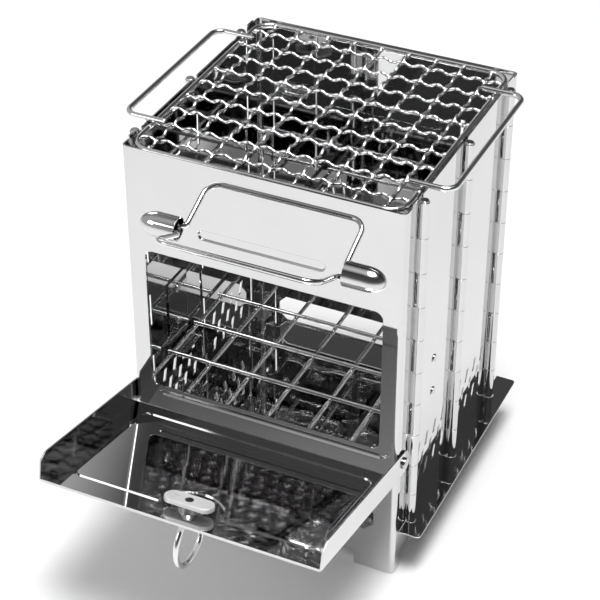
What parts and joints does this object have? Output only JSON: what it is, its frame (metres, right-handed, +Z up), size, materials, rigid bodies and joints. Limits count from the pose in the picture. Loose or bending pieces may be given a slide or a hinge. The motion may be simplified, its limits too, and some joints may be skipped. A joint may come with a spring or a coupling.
{
  "type": "camping wood stove",
  "caption": "Folding box stove of polished steel sheet with a drop-down door, woven top grill, charcoal grate, wire bails and a removable base plate.",
  "frame": {"origin": "middle of the walls' footprint, on the ground", "axes": "+Z up, the door faces -Y, +X to the right when facing +Y"},
  "size_m": [0.237, 0.3408, 0.3032],
  "materials": {
    "sheet": "mirror polished stainless sheet",
    "wire": "bright round stainless wire",
    "fastener": "plain bright stainless"
  },
  "bodies": {
    "stove": {"front_panel": "sheet", "rear_panel": "sheet", "left_front_leaf": "sheet", "right_front_leaf": "sheet", "left_rear_leaf": "sheet", "right_rear_leaf": "sheet", "left_front_hinge_pin": "fastener", "left_middle_hinge_pin": "fastener", "left_rear_hinge_pin": "fastener", "right_front_hinge_pin": "fastener", "right_middle_hinge_pin": "fastener", "right_rear_hinge_pin": "fastener", "base_plate": "sheet", "left_side_bracket": "sheet", "right_side_bracket": "sheet", "left_rear_bracket": "sheet", "right_rear_bracket": "sheet", "bracket_rivets": "fastener", "door_rivets": "fastener"},
    "door": {"door_pan": "sheet"},
    "latch": {"latch_button": "sheet", "latch_spindle": "fastener", "ring_eye": "sheet"},
    "pull_ring": {"pull_ring": "wire"},
    "front_bail": {"front_bail": "wire"},
    "rear_bail": {"rear_bail": "wire"},
    "grill": {"grill_frame": "wire", "grill_long_wires": "wire", "grill_cross_wires": "wire", "left_grill_handle": "wire", "right_grill_handle": "wire"},
    "charcoal_grate": {"grate_long_wires": "wire", "grate_cross_wires": "wire"}
  },
  "joints": [
    {"name": "door_hinge", "type": "hinge", "parent": "stove", "child": "door", "pos_m": [0, -0.0923, 0.0962], "axis": [-1, 0, 0], "range_deg": [0, 78.8]},
    {"name": "latch_turn", "type": "hinge", "parent": "door", "child": "latch", "pos_m": [0, -0.20982, 0.11019], "axis": [0, 0.1942, 0.981], "range_deg": [0, 90]},
    {"name": "ring_swing", "type": "hinge", "parent": "latch", "child": "pull_ring", "pos_m": [0, -0.21081, 0.10519], "axis": [0, -0.981, 0.1942], "range_deg": [-85, 85]},
    {"name": "front_bail_swing", "type": "hinge", "parent": "stove", "child": "front_bail", "pos_m": [0, -0.1059, 0.245], "axis": [1, 0, 0], "range_deg": [-62, 100]},
    {"name": "rear_bail_swing", "type": "hinge", "parent": "stove", "child": "rear_bail", "pos_m": [0, 0.1059, 0.245], "axis": [1, 0, 0], "range_deg": [0, 175]},
    {"name": "grill_lift", "type": "slide", "parent": "stove", "child": "grill", "axis": [0, 0, 1], "range_m": [0, 0.1]},
    {"name": "grate_lift", "type": "slide", "parent": "stove", "child": "charcoal_grate", "axis": [0, 0, 1], "range_m": [0, 0.15]}
  ]
}
